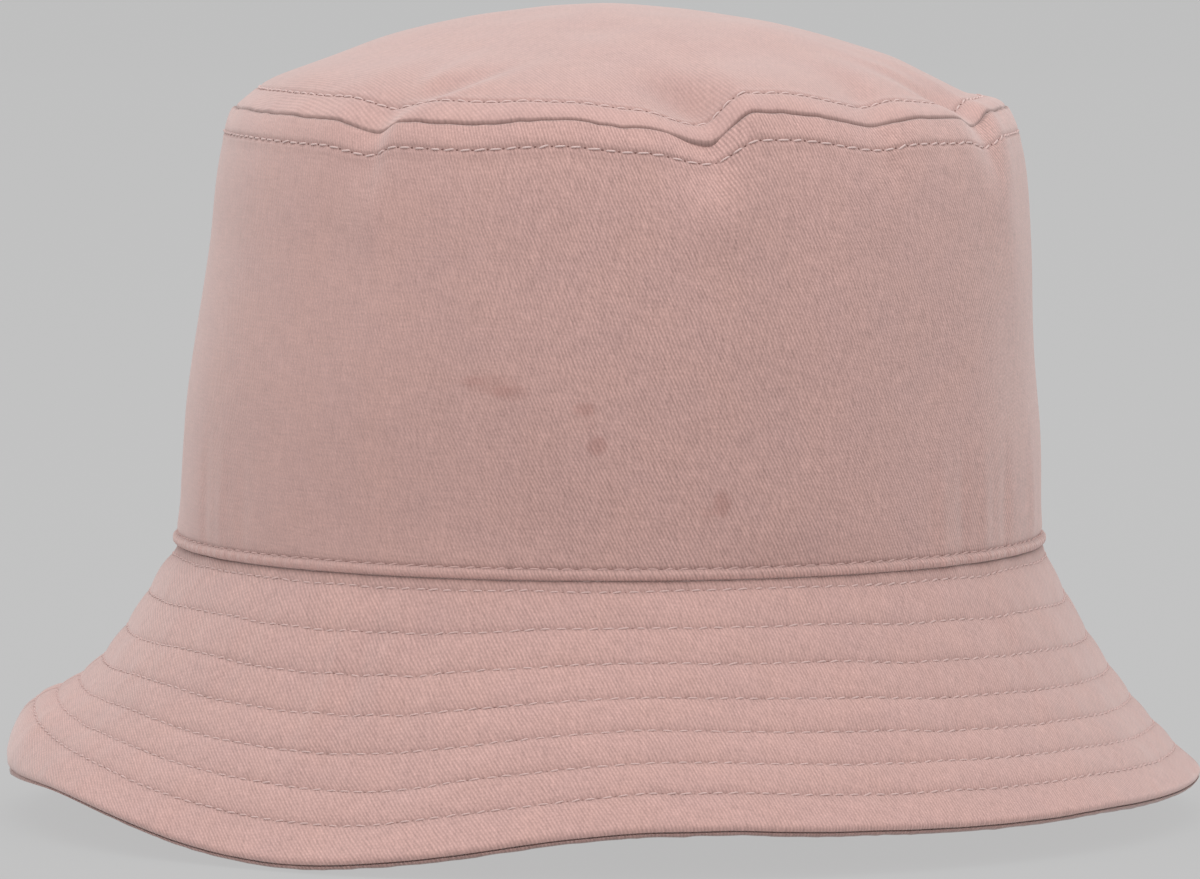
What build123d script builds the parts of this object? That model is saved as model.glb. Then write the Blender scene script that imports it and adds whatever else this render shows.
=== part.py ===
from build123d import *
import os
from math import pi, sqrt

import numpy as np

# A bucket hat: an oval tip, two side panels and a quilted brim of three layers,
# with a sweatband, seam tapes and labels inside. Millimetres. +Z is up, the front
# faces -Y, and the origin is on the surface that the hat stands on, under its middle.

# ---- driving dimensions ----
head_circumference = 580.0     # round the inside of the sweatband
head_ratio = 1.095             # depth of the head oval over its width

crown_height = 90.0            # base seam to tip seam
crown_taper = 6.4              # how much the side leans in, from base seam to tip seam
shoulder_turn = 3.6            # extra turn inwards just under the tip seam
shoulder_power = 9.0           # how suddenly that turn comes
crown_shift = 2.2              # the crown sits this far right of the middle of the brim
crown_lean = 2.2               # and its upper part slumps this much further
lean_start = 0.30              # share of the crown's height where the slump starts
lean_end = 0.75                # and where it is complete
tip_rise = 22.5                # height of the domed tip over the tip seam

brim_reach = 34.4              # how far the brim edge stands out past the base seam
brim_drop = 55.2               # base seam down to the lowest points of the brim edge
brim_hollow = 0.075            # how far the brim falls steeply first, share of its drop
brim_hollow_swing = 0.035      # more of that at the sides, less at the front and back
brim_curl = 8.0                # lift of the outer brim at the left side, rolled over at its edge
brim_curl_angle = 176.0        # where that lift is greatest
brim_curl_width = 24.0         # and how far round it spreads
brim_roll = 0.02               # how tight the rolled edge is there, smaller is tighter
curl_gain = 7.0                # brings the most of that lift to about 1
# The brim edge is not level: its height over the lowest points, at each angle
# (degrees, from the right side over the back).
edge_angles = (0.0, 38.0, 80.0, 125.0, 180.0, 202.0, 241.0, 276.0, 312.0)
edge_heights = (8.4, 0.0, 8.5, 0.0, 10.4, 11.0, 0.0, 9.5, 7.4)

cloth = 0.8                    # twill of the crown and of both brim cloths
interlining = 0.8              # stiffener between the brim cloths
band_cloth = 0.8               # sweatband
band_filling = 0.4             # interlining behind the sweatband
tape_cloth = 0.5               # seam tapes
label_cloth = 0.4              # woven labels
thread = 0.35                  # how far a stitch stands out of the cloth
ply_gap = 0.3                  # clearance between layers that lie on each other
seam_gap = 0.3                 # clearance between pieces that meet at a seam

band_height = 31.0             # sweatband, from the base seam up
tip_tape_height = 9.0
side_tape_width = 10.0
main_label_size = (44.0, 18.0)
care_label_size = (24.0, 28.0)
care_label_clear = 0.9         # between the hanging care label and the sweatband's edge

thread_width = 0.7
tip_row = 5.0                  # stitch rows each side of the tip seam
base_row = 2.2                 # stitch row above the base seam
brim_first_row = 2.2           # first brim row below the base seam
brim_row_pitch = 8.1
brim_row_count = 7

interlining_hem = 1.5          # the stiffener stops short of the brim's sewn edges
filling_inset = 1.0            # and the sweatband's filling short of its top edge
band_start = 0.95              # the sweatband starts this far above the base seam
tape_inset = 2.0               # tip seam tape, below the tip seam
side_tape_gap = 1.0            # side seam tapes, clear of the band and of the tip seam tape
main_label_raise = 1.0         # the main label sits this far above the band's middle

# ---- worked out from them ----
# Half-axes of the head oval, from the usual formula for an ellipse's length.
oval_factor = 3 * (1 + head_ratio) - sqrt((3 + head_ratio) * (1 + 3 * head_ratio))
head_half_width = head_circumference / (pi * oval_factor)
head_half_depth = head_half_width * head_ratio
# The layers inside the side panel, from its outer face inwards.
filling_at = cloth + ply_gap
band_at = filling_at + band_filling + ply_gap
band_inside = band_at + band_cloth
tape_at = cloth + ply_gap
half_width = head_half_width + band_inside
half_depth = head_half_depth + band_inside
# The layers of the brim, from its upper face down.
interlining_at = cloth + ply_gap
under_at = interlining_at + interlining + ply_gap
brim_length = sqrt(brim_reach**2 + (brim_drop - sum(edge_heights) / len(edge_heights)) ** 2)
tip_half_width = half_width - crown_taper - shoulder_turn
tip_half_depth = half_depth - crown_taper - shoulder_turn

FRONT = (180.0, 360.0)
BACK = (0.0, 180.0)
ALL_ROUND = (90.0, 450.0)      # from the centre back to the centre back


def ease(x):
    """Runs smoothly from 0 at x = 0 to 1 at x = 1, level at both ends."""
    x = np.clip(x, 0.0, 1.0)
    return x * x * (3.0 - 2.0 * x)


def edge_height(angle):
    """Height of the brim edge over its lowest points, easing from one named angle to the next."""
    at = np.append(edge_angles, edge_angles[0] + 360.0)
    height = np.append(edge_heights, edge_heights[0])
    angle = np.mod(angle, 360.0)
    i = np.clip(np.searchsorted(at, angle, side="right") - 1, 0, len(edge_angles) - 1)
    share = (angle - at[i]) / (at[i + 1] - at[i])
    return height[i] + (height[i + 1] - height[i]) * ease(share)


def side_face(angle, up):
    """The crown side's outer face: an oval that shrinks from the base seam (up = 0) to
    the tip seam (up = 1)."""
    inwards = crown_taper * up + shoulder_turn * np.maximum(up, 0.0) ** shoulder_power
    slump = crown_lean * ease((up - lean_start) / (lean_end - lean_start))
    turn = np.radians(angle)
    x = (half_width - inwards) * np.cos(turn) + crown_shift + slump
    y = (half_depth - inwards) * np.sin(turn)
    return np.stack([x, y, brim_drop + crown_height * up], axis=-1)


def brim_face(angle, out):
    """The brim's upper face: the base oval grows by the reach while it falls to the wavy edge (out = 1)."""
    turn = np.radians(angle)
    x = (half_width + brim_reach * out) * np.cos(turn) + crown_shift * (1.0 - out)
    y = (half_depth + brim_reach * out) * np.sin(turn)
    hollow = brim_hollow + brim_hollow_swing * np.cos(2 * turn)
    fall = (brim_drop - edge_height(angle)) * (out + hollow * np.sin(pi * out))
    beside = np.mod(angle - brim_curl_angle + 180.0, 360.0) - 180.0
    lift = brim_curl * np.exp(-((beside / brim_curl_width) ** 2)) * curl_shape(out)
    return np.stack([x, y, brim_drop - fall + lift], axis=-1)


def curl_shape(out):
    """Rises late towards the brim edge and rolls over to nothing just at it; the most is about 1."""
    rolled = np.sqrt(np.maximum(1.0 + brim_roll - out, 0.0)) - sqrt(brim_roll)
    return curl_gain * out**4 * rolled


def dome_height(out):
    """Height of the domed tip over its rim: an arc of a circle, from the middle
    (out = 0) to the rim (out = 1)."""
    radius = (tip_half_width**2 + tip_rise**2) / (2 * tip_rise)
    return np.sqrt(radius**2 - (tip_half_width * out) ** 2) - (radius - tip_rise)


def tip_face(angle, out):
    """The tip's outer face: the dome, stretched from a circle to the oval of the tip seam."""
    turn = np.radians(angle)
    x = tip_half_width * out * np.cos(turn) + crown_shift + crown_lean
    y = tip_half_depth * out * np.sin(turn)
    return np.stack([x, y, brim_drop + crown_height + cloth + dome_height(out)], axis=-1)


def raised(face, angle, along, height):
    """Points that stand off a face by a height, measured square to it; the outward side is positive."""
    step = 1e-3
    around = face(angle + step, along) - face(angle - step, along)
    down = face(angle, along + step) - face(angle, along - step)
    square = np.cross(around, down)
    square /= np.linalg.norm(square, axis=-1, keepdims=True)
    point = face(angle, along)
    outward = np.sign(np.sum(square * (point - [0.0, 0.0, brim_drop - 3 * crown_height]), axis=-1))
    return point + square * outward[..., None] * height


def layer(face, angles, alongs, heights, columns=61, rows=11):
    """A closed thin solid: the stretch of a face between two angles and two places
    along it, from one height off the face to another."""
    angle, along = np.meshgrid(np.linspace(*angles, columns), np.linspace(*alongs, rows), indexing="ij")
    skins = []
    for height in heights:
        points = raised(face, angle, along, height)
        skins.append(Face.make_surface_from_array_of_points([[tuple(p) for p in line] for line in points]))
    walls = [Face.make_surface_from_curves(a, b) for a, b in zip(skins[0].edges(), skins[1].edges())]
    return Solid(Shell(skins + walls))


def half(angles, gap=seam_gap):
    """A half's two angles, each drawn back by half the clearance at the side seam."""
    back = np.degrees(gap / 2 / half_depth)
    return (angles[0] + back, angles[1] - back)


def tapered(low, high, size):
    """Places that are a length in millimetres from each end of a face that is size long."""
    return (low / size, 1.0 - high / size)


def crown_tip():
    """The oval top: a thin dome, turned as a circle and stretched front to back."""
    rim_height = brim_drop + crown_height
    with BuildPart() as dome:
        with BuildSketch(Plane.XZ):
            with BuildLine():
                outer = [(tip_half_width * o, cloth + float(dome_height(o))) for o in (0.0, 0.5, 1.0)]
                inner = [(x, z - cloth) for x, z in outer]
                ThreePointArc(*outer)
                Line(outer[2], inner[2])
                ThreePointArc(*inner)
                Line(inner[0], outer[0])
            make_face()
        revolve(axis=Axis.Z)
    oval = scale(dome.part, by=(1, tip_half_depth / tip_half_width, 1))
    return Pos(crown_shift + crown_lean, 0, rim_height) * oval


def side_panels():
    """The two halves of the crown's side."""
    up = tapered(seam_gap, seam_gap, crown_height)
    front = layer(side_face, half(FRONT), up, (-cloth, 0.0), rows=17)
    back = layer(side_face, half(BACK), up, (-cloth, 0.0), rows=17)
    return {"side_panel_front": front, "side_panel_back": back}


def brim_layers():
    """Each layer of the brim in two halves; the under cloth is the lowest all round."""
    depths = {"brim_upper": (0.0, cloth), "brim_interlining": (interlining_at, interlining),
              "brim_under": (under_at, cloth)}
    pieces = {}
    for name, (at, thick) in depths.items():
        edge = interlining_hem / brim_length if name == "brim_interlining" else 0.0
        for side, angles in (("front", FRONT), ("back", BACK)):
            solid = layer(brim_face, half(angles), (edge, 1.0 - edge), (-at - thick, -at), rows=31)
            pieces[f"{name}_{side}"] = solid
    return pieces


def inner_band():
    """The sweatband, one strip that meets itself at the centre back, and its interlining."""
    low = band_start / crown_height
    filling_top = (band_height - filling_inset) / crown_height
    filling = layer(side_face, half(ALL_ROUND), (low, filling_top),
                    (-filling_at - band_filling, -filling_at), columns=121)
    band = layer(side_face, half(ALL_ROUND), (low, band_height / crown_height),
                 (-band_inside, -band_at), columns=121)
    return {"sweatband": band, "sweatband_interlining": filling}


def seam_tapes():
    """The tape over the tip seam's cut edges, and one down each side seam."""
    top = 1.0 - tape_inset / crown_height
    tip_low = top - tip_tape_height / crown_height
    depth = (-tape_at - tape_cloth, -tape_at)
    pieces = {"tip_seam_tape": layer(side_face, half(ALL_ROUND), (tip_low, top), depth, columns=121)}
    spread = np.degrees(side_tape_width / 2 / half_depth)
    span = ((band_height + side_tape_gap) / crown_height, tip_low - side_tape_gap / crown_height)
    for side, angle in (("right", 0.0), ("left", 180.0)):
        angles = (angle - spread, angle + spread)
        pieces[f"side_seam_tape_{side}"] = layer(side_face, angles, span, depth, columns=9)
    return pieces


def labels():
    """The main label lies flat on the sweatband at the back; the care label hangs
    from the sweatband's top edge at the left side."""
    width, height = main_label_size
    spread = np.degrees(width / 2 / half_width)
    middle = band_height / 2 + main_label_raise
    on_band = -band_inside - ply_gap
    main = layer(side_face, (90.0 - spread, 90.0 + spread),
                 ((middle - height / 2) / crown_height, (middle + height / 2) / crown_height),
                 (on_band - label_cloth, on_band), columns=15)
    width, height = care_label_size
    hang_x, hang_z = care_label_hinge()
    care = Pos(hang_x, 0, hang_z - height / 2) * Box(label_cloth, width, height)
    return {"main_label": main, "care_label": care}


def care_label_hinge():
    """Where the care label is caught: clear of the band's inner face at the label's two side edges."""
    up = band_height / crown_height
    x_in = half_width - crown_taper * up - band_inside
    y_in = half_depth - crown_taper * up - band_inside
    x_at_edge = x_in * sqrt(1.0 - (care_label_size[0] / 2 / y_in) ** 2)
    x = crown_shift - x_at_edge + care_label_clear + label_cloth / 2
    return x, brim_drop + band_height


def stitch_rows():
    """Each row of topstitching, as one thin line of thread that stands out of the cloth."""
    depth = (ply_gap / 2, ply_gap / 2 + thread)
    tip_at = 1.0 - tip_row / sqrt(tip_half_width**2 + tip_rise**2)
    rows = {
        "tip_stitch_upper": (tip_face, tip_at, tip_half_width),
        "tip_stitch_lower": (side_face, 1.0 - tip_row / crown_height, crown_height),
        "base_stitch": (side_face, base_row / crown_height, crown_height),
    }
    for i in range(brim_row_count):
        place = (brim_first_row + i * brim_row_pitch) / brim_length
        rows[f"brim_stitch_{i + 1}"] = (brim_face, place, brim_length)
    pieces = {}
    for name, (face, place, size) in rows.items():
        spread = thread_width / 2 / size
        span = (place - spread, place + spread)
        pieces[name] = layer(face, half(ALL_ROUND), span, depth, columns=121, rows=3)
    return pieces


def whole_hat():
    """Every piece by name, moved so that the hat stands on the ground over the origin."""
    pieces = {"crown_tip": crown_tip()}
    for group in (side_panels(), brim_layers(), inner_band(), seam_tapes(), labels(), stitch_rows()):
        pieces.update(group)
    box = Compound(children=[copy_of(p) for p in pieces.values()]).bounding_box()
    to_ground = Pos(-(box.min.X + box.max.X) / 2, -(box.min.Y + box.max.Y) / 2, -box.min.Z)
    return {name: to_ground * piece for name, piece in pieces.items()}, to_ground


def copy_of(piece):
    """A second piece with the same shape, so that the first keeps its place."""
    return Pos(0, 0, 0) * piece


pieces, to_ground = whole_hat()
os.makedirs("parts", exist_ok=True)
for name, piece in pieces.items():
    export_step(piece, f"parts/{name}.step")

hinge_x, hinge_z = care_label_hinge()
hinge = to_ground * Pos(hinge_x, 0, hinge_z)
print("care label hinge (mm):", [round(v, 3) for v in hinge.position])
print("moved to the ground by (mm):", [round(v, 3) for v in to_ground.position])
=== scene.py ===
from math import cos, pi, radians, sin

import bpy
import numpy as np
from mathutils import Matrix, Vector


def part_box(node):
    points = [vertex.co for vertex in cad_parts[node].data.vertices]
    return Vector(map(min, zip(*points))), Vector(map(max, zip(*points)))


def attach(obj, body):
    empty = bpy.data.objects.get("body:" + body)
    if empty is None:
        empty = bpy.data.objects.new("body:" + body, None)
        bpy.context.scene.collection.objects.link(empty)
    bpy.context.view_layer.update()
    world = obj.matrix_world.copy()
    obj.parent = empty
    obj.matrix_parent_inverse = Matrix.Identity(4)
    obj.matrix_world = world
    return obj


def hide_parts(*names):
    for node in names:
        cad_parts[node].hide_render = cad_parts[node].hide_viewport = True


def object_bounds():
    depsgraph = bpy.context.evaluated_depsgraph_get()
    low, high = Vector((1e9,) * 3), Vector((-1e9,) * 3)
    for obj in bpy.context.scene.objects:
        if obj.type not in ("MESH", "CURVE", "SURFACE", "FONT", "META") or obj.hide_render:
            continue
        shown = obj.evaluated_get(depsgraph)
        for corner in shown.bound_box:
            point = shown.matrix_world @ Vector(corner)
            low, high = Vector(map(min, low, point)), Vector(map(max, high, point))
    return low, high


# A bucket hat in washed cotton twill: an oval tip, two side panels, and a brim of two
# cloths quilted over an interlining. Metres. Angles are degrees seen from above, from
# the right side (0) over the back (90) and the left (180) to the front (270).

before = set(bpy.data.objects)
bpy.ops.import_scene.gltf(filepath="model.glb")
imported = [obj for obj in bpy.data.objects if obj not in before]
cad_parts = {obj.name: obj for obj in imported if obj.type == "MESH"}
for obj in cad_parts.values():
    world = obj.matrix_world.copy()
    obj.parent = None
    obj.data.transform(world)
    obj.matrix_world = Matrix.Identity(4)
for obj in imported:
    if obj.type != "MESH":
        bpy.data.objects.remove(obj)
cad_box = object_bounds()

mm = 0.001
upright = np.array([0.0, 0.0, 1.0])

# ---- sizes read from the frame ----
panel_low, panel_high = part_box("side_panel_front")
tip_low, tip_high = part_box("crown_tip")
brim_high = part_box("brim_upper_front")[1]
band_low, band_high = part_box("sweatband")
tape_low, tape_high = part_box("tip_seam_tape")
label_low, label_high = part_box("care_label")
main_low, main_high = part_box("main_label")

seam_gap = 0.3 * mm
cloth = 0.8 * mm
half_width = (panel_high.x - panel_low.x) / 2
half_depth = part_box("side_panel_back")[1].y
crown_x = (panel_high.x + panel_low.x) / 2
tip_half_width = (tip_high.x - tip_low.x) / 2
tip_half_depth = tip_high.y
tip_x = (tip_high.x + tip_low.x) / 2
base_z = panel_low.z - seam_gap
tip_z = tip_low.z
crown_height = tip_z - base_z
tip_rise = tip_high.z - tip_z - cloth
brim_reach = brim_high.x - half_width
ground_z = cad_box[0].z

# ---- the hat's shape, as it is cut ----
lean_in = half_width - tip_half_width
crown_taper = 0.64 * lean_in
shoulder_turn = lean_in - crown_taper
shoulder_power = 9.0
crown_lean = tip_x - crown_x
lean_start, lean_end = 0.30, 0.75
brim_lift = 1.863 * mm
brim_drop = base_z - ground_z - brim_lift
brim_hollow, brim_hollow_swing = 0.075, 0.035
brim_curl, brim_curl_angle, brim_curl_width, brim_roll = 8.0 * mm, 176.0, 24.0, 0.02
curl_gain = 7.0
edge_angles = (0.0, 38.0, 80.0, 125.0, 180.0, 202.0, 241.0, 276.0, 312.0)
edge_heights = (7.0, 0.0, 8.5, 0.0, 8.6, 9.2, 0.0, 8.5, 6.8)
brim_length = np.hypot(brim_reach, brim_drop - np.mean(edge_heights) * mm)
# Laid flat, half of the brim is a ring segment: how far it opens, and its inner radius.
brim_opening = 103.3
brim_inner = 165.3 * mm

# ---- how deep each layer lies under the outer cloth's face ----
side_inner, tip_inner, upper_inner = 0.82 * mm, 0.85 * mm, 0.95 * mm
core_top, core_bottom = 1.0 * mm, 1.7 * mm
under_top, under_bottom = 1.75 * mm, 2.75 * mm
filling_outer, filling_inner = 1.1 * mm, 1.70 * mm
band_outer, band_inner = 1.85 * mm, 2.6 * mm
tape_outer, tape_inner = 1.25 * mm, 1.75 * mm

# ---- seams, stitching and folds ----
tip_row = 5.0 * mm
base_row = 2.2 * mm
first_row, row_pitch = 2.2, 8.1
brim_rows = [(first_row + row_pitch * i) * mm for i in range(7)]
band_row = 2.4 * mm
stitch_pitch = 3.2 * mm
crown_pitch = 3.4 * mm
stitch_length = 2.22 * mm
thread_radius = 0.19 * mm
# The tip seam is not level: how far it hangs below its plain line, mm, at each angle.
seam_angles = (4.0, 18.0, 24.0, 48.0, 61.0, 67.0, 84.0, 97.0, 102.0, 124.0, 139.0, 144.0, 160.0, 171.0,
               177.0, 200.0, 222.0, 231.8, 236.5, 247.0, 261.5, 272.5, 282.6, 289.5, 293.5, 309.5, 316.5,
               328.0, 334.2, 341.0, 350.0)
seam_drops = (-0.5, 0.9, -0.5, 0.2, 1.5, -1.0, 0.1, 0.9, -0.7, 0.3, 1.7, -0.9, 0.0, 0.7, -0.5,
              -0.8, -0.35, 1.55, -0.42, -0.2, -1.4, 0.1, 2.6, -2.4, -2.45, 0.55, -0.35, 0.1, 1.6,
              -0.6, -0.8)
seam_raise = 0.8 * mm
# Each tuck in that seam: its angle, its depth, how far it spreads to each side in
# degrees, and how far its fold runs round on its way up the tip.
tucks = (
    (232.4, 2.0 * mm, 4.5, 2.0, 9.0),
    (282.6, 3.6 * mm, 6.0, 2.2, -3.5),
    (309.5, 1.1 * mm, 4.0, 2.4, 3.0),
    (334.6, 1.8 * mm, 3.6, 1.8, -6.0),
    (18.0, 1.4 * mm, 5.0, 2.4, 3.0),
    (61.0, 2.0 * mm, 5.0, 2.4, -3.0),
    (97.0, 1.3 * mm, 4.5, 2.4, 4.0),
    (139.0, 2.2 * mm, 5.0, 2.2, 3.0),
    (171.0, 1.2 * mm, 4.0, 2.4, 0.0),
)


# ================ small helpers ================

def ease(x):
    """Runs smoothly from 0 at x = 0 to 1 at x = 1, level at both ends: 3x^2 - 2x^3."""
    x = np.clip(x, 0.0, 1.0)
    return x * x * (3.0 - 2.0 * x)


def hump(x, width):
    """A smooth hump, 1 at x = 0, that has fallen to a third at the given width."""
    return np.exp(-(x / width) ** 2)


def round_edge(x):
    """A quarter circle: upright at x = 0, level where it reaches 1 at x = 1."""
    return np.sqrt(1.0 - (1.0 - np.clip(x, 0.0, 1.0)) ** 2)


def turned(angle, centre):
    """The angle from a centre, from -180 to 180 degrees."""
    return np.mod(angle - centre + 180.0, 360.0) - 180.0


def unevenness(point, size, seed):
    """Smooth random numbers from -1 to 1 over space: a lattice of seeded values that is
    size apart, blended with ease along each axis."""
    table = np.random.default_rng(seed).uniform(-1.0, 1.0, (32, 32, 32))
    place = point / size + 100.0
    cell = np.floor(place).astype(int)
    share = ease(place - cell)
    total = 0.0
    for corner in np.ndindex(2, 2, 2):
        weight = 1.0
        for axis in range(3):
            weight = weight * (share[..., axis] if corner[axis] else 1.0 - share[..., axis])
        i, j, k = (np.mod(cell[..., axis] + corner[axis], 32) for axis in range(3))
        total = total + table[i, j, k] * weight
    return total


# ================ the plain shape of the hat ================

def round_the_hat(angle, angles, values):
    """A value at any angle, easing from each given angle to the next all the way round."""
    at = np.append(angles, angles[0] + 360.0)
    value = np.append(values, values[0]) * mm
    angle = np.mod(angle - at[0], 360.0) + at[0]
    i = np.clip(np.searchsorted(at, angle, side="right") - 1, 0, len(angles) - 1)
    share = (angle - at[i]) / (at[i + 1] - at[i])
    return value[i] + (value[i + 1] - value[i]) * ease(share)


def edge_height(angle):
    """Height of the brim edge over its lowest points."""
    return round_the_hat(angle, edge_angles, edge_heights)


def side_face(angle, up):
    """The crown side's outer face: an oval that shrinks from the base seam (up = 0) to
    the tip seam (up = 1), faster near the top, and slumps sideways on the way."""
    inwards = crown_taper * up + shoulder_turn * np.maximum(up, 0.0) ** shoulder_power
    slump = crown_lean * ease((up - lean_start) / (lean_end - lean_start))
    turn = np.radians(angle)
    x = (half_width - inwards) * np.cos(turn) + crown_x + slump
    y = (half_depth - inwards) * np.sin(turn)
    return np.stack([x, y, base_z + crown_height * up], axis=-1)


def tip_face(angle, out):
    """The tip's outer face: an arc of a circle from the middle (out = 0) to the rim
    (out = 1), stretched to the oval of the tip seam."""
    radius = (tip_half_width**2 + tip_rise**2) / (2 * tip_rise)
    height = np.sqrt(radius**2 - (tip_half_width * out) ** 2) - (radius - tip_rise)
    turn = np.radians(angle)
    x = tip_half_width * out * np.cos(turn) + tip_x
    y = tip_half_depth * out * np.sin(turn)
    return np.stack([x, y, tip_z + height], axis=-1)


def brim_face(angle, out):
    """The brim's upper face: the base oval grows by the reach while it falls to the wavy
    edge (out = 1), with a lift at the left side that rolls over at the edge."""
    turn = np.radians(angle)
    stretch = 1.6 * mm * hump(turned(angle, 0.0), 26.0) * np.maximum(out, 0.0) ** 2
    x = (half_width + brim_reach * out + stretch) * np.cos(turn) + crown_x * (1.0 - out)
    y = (half_depth + brim_reach * out + stretch) * np.sin(turn)
    hollow = brim_hollow + brim_hollow_swing * np.cos(2 * turn)
    fall = (brim_drop - edge_height(angle)) * (out + hollow * np.sin(pi * out))
    rolled = np.sqrt(np.maximum(1.0 + brim_roll - out, 0.0)) - brim_roll**0.5
    lift = brim_curl * hump(turned(angle, brim_curl_angle), brim_curl_width) * curl_gain * out**4 * rolled
    return np.stack([x, y, base_z - fall + lift], axis=-1)


def square_to(face, angle, along):
    """Unit vectors square to a face, pointing out of the hat."""
    step = 1e-3
    around = face(angle + step, along) - face(angle - step, along)
    down = face(angle, along + step) - face(angle, along - step)
    square = np.cross(around, down)
    square /= np.maximum(np.linalg.norm(square, axis=-1, keepdims=True), 1e-12)
    middle = np.array([crown_x, 0.0, base_z - 3 * crown_height])
    outward = np.sign(np.sum(square * (face(angle, along) - middle), axis=-1))
    return square * outward[..., None]


# ================ the sewn surfaces, with their seams and folds ================

def wobble(angle, size, seed, along=0.0):
    """Smooth random numbers from -1 to 1 that change over a size on the way round the hat."""
    turn = np.radians(angle)
    place = np.stack([half_width * np.cos(turn), half_depth * np.sin(turn), along + 0 * turn], axis=-1)
    return unevenness(place, size, seed)


def seam_pull(angle, away, skew_by=0.0):
    """How the tip seam's own line and its tucks move the cloth beside it: (down,
    inwards), each dying away with the distance from the seam. A tuck is a hump in the
    angle, sharper on its right, with a proud fold just past it."""
    jags = 0.16 * mm * wobble(angle, 2.6 * mm, 17) + 0.14 * mm * wobble(angle, 7 * mm, 18)
    line = round_the_hat(angle, seam_angles, seam_drops) - seam_raise + jags * hump(away, 3 * mm)
    inwards = 0.0
    for centre, depth, left, right, skew in tucks:
        beside = turned(angle, centre + skew * skew_by)
        spread = np.where(beside < 0, left, right)
        fold = 0.24 * depth * hump(beside - 3.0 * right, 1.5 * right)
        inwards = inwards + 0.55 * depth * hump(beside, spread) - fold
    return line * np.exp(-(away / (17 * mm)) ** 1.5), inwards * np.exp(-(away / (13 * mm)) ** 1.2)


def side_soft(point):
    """Slow hollows and swells of the worn cloth on the crown side."""
    stretched = point * np.array([1.0, 1.0, 0.55])
    return 0.9 * mm * unevenness(stretched, 42 * mm, 3) + 0.35 * mm * unevenness(stretched, 17 * mm, 4)


def creases(angle, height):
    """Soft upright creases low on the side, near the base seam at the left and right."""
    total = 0.0
    marks = ((318.5, 1.0, 1.5), (323.0, -1.1, 1.3), (328.0, 1.0, 1.6), (334.0, -0.9, 1.4),
             (208.0, 0.7, 1.4), (203.0, -0.7, 1.3), (213.5, -0.5, 1.4), (345.0, 0.8, 2.0),
             (150.0, 0.8, 1.7), (143.0, -0.7, 1.6), (40.0, 0.8, 1.6), (71.0, -0.7, 1.8))
    for centre, depth, width in marks:
        total = total + depth * 0.45 * mm * hump(turned(angle, centre), width)
    return total * hump(height - 9 * mm, 13 * mm)


def side_bend(angle, up, depth=0.0):
    """The crown side without its seam details: the side face moved by the tucks, the
    creases and the slow unevenness, and a depth further in for what is sewn inside."""
    point = side_face(angle, up)
    square = square_to(side_face, angle, up)
    height = up * crown_height
    away = crown_height - height
    free = ease(height / (10 * mm)) * ease(away / (9 * mm))
    down, inwards = seam_pull(angle, away)
    barrel = 1.5 * mm * np.sin(pi * np.clip(up, 0.0, 1.0)) * np.sin(np.radians(angle)) ** 2
    shoulder = 0.7 * mm * round_edge(away / (8 * mm)) * (1.0 - ease((away - 8 * mm) / (20 * mm)))
    swell = 0.0
    for centre, size, left, right, skew in tucks:
        swell = swell + 0.42 * size * hump(turned(angle, centre + 0.5), 4.2) * hump(away - 17 * mm, 8 * mm)
    fuller = (1.5 * hump(turned(angle, 180.0), 38.0) * hump(up - 0.32, 0.36)
              + 1.5 * hump(turned(angle, 0.0), 38.0) * hump(up - 0.27, 0.20)) * mm
    off = side_soft(point) * free + creases(angle, height) + barrel + shoulder + fuller + swell
    return point + square * (off - inwards - depth)[..., None] - upright * down[..., None]


def seam_band(away, full, sunk):
    """The padded band between the tip seam and its stitching, with the stitch valley."""
    band = full * (round_edge(away / (0.4 * mm)) - ease((away - tip_row) / (2.5 * mm)) * 0.75)
    return band - sunk * hump(away - tip_row, 0.55 * mm)


def side_cloth(angle, up):
    """The sewn crown side: its bent face, with a rolled lip under the base stitching, a
    padded band over the tip stitching, and stitch valleys."""
    point = side_face(angle, up)
    square = square_to(side_face, angle, up)
    height = up * crown_height
    away = crown_height - height
    roped = 1.0 + 0.30 * np.cos(np.radians(angle) * (half_width + half_depth) * pi / crown_pitch)
    from_middle = height / (0.5 * base_row) - 1.0
    lip = 0.66 * mm * np.sqrt(np.clip(1.0 - from_middle**2, 0.0, 1.0)) * roped
    above = 0.12 * mm * ease((height - base_row) / (2.0 * mm)) - 0.22 * mm * hump(height - base_row, 0.5 * mm)
    side_seam = np.minimum(np.abs(turned(angle, 0.0)), np.abs(turned(angle, 180.0)))
    seam_at = np.radians(side_seam) * half_depth
    seam = -0.55 * mm * (1.0 - round_edge(seam_at / (1.0 * mm)))
    near_rows = hump(away - tip_row, 4 * mm) + hump(height, 4 * mm)
    puckers = 0.10 * mm * unevenness(point, 4.5 * mm, 5) * near_rows
    off = lip + above + seam_band(away, 0.32 * mm, 0.30 * mm) + seam + puckers
    return side_bend(angle, up) + square * off[..., None]


def tip_hollows(angle, away):
    """The slack hollow over each tuck, steep on its right where the next fold stands proud."""
    run = np.clip(away / (14 * mm), 0.0, 2.0)
    total = 0.0
    for centre, depth, left, right, skew in tucks:
        beside = turned(angle, centre + skew * run + 0.8)
        spread = np.where(beside < 0, 1.15 * left, 1.5 * right)
        total = total + 0.85 * depth * hump(beside, spread) * hump(away - 11 * mm, 8 * mm)
    return total


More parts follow.
